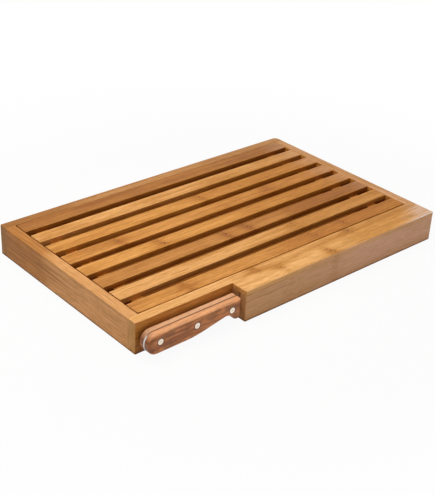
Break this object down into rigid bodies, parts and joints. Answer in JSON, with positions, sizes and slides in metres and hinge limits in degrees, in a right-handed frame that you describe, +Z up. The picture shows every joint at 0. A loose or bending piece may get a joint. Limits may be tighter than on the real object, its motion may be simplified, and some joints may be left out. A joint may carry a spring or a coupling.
{
  "type": "bread board with crumb catcher",
  "caption": "Rectangular wooden bread board: a lift-out slatted rack over a crumb tray, and a bread knife whose blade slides into a block along the front edge.",
  "frame": {"origin": "on the table, under the middle of the board's outline", "axes": "+X runs along the slats to the right, away from the knife's handle; +Y from the knife's side to the back; +Z up"},
  "size_m": [0.42, 0.267, 0.0367],
  "materials": {
    "board_bamboo": "satin oiled bamboo",
    "rack_bamboo": "satin oiled bamboo",
    "handle_wood": "satin red-brown hardwood",
    "blade_steel": "brushed",
    "rivet_metal": "satin"
  },
  "bodies": {
    "tray": {"front_rail": "board_bamboo", "back_rail": "board_bamboo", "left_rail": "board_bamboo", "right_rail": "board_bamboo", "corner_tenons": "board_bamboo", "base_panel": "board_bamboo", "knife_block": "board_bamboo", "knife_block_cap": "board_bamboo"},
    "rack": {"slat_1": "rack_bamboo", "slat_2": "rack_bamboo", "slat_3": "rack_bamboo", "slat_4": "rack_bamboo", "slat_5": "rack_bamboo", "slat_6": "rack_bamboo", "slat_7": "rack_bamboo", "slat_8": "rack_bamboo", "left_crossbar": "rack_bamboo", "right_crossbar": "rack_bamboo"},
    "knife": {"knife_blade": "blade_steel", "handle_scale_front": "handle_wood", "handle_scale_rear": "handle_wood", "rivet_1": "rivet_metal", "rivet_2": "rivet_metal", "rivet_3": "rivet_metal"}
  },
  "joints": [
    {"name": "rack_lift", "type": "slide", "parent": "tray", "child": "rack", "axis": [0, 0, 1], "range_m": [0, 0.06]},
    {"name": "knife_draw", "type": "slide", "parent": "tray", "child": "knife", "axis": [-1, 0, 0], "range_m": [0, 0.225]}
  ]
}
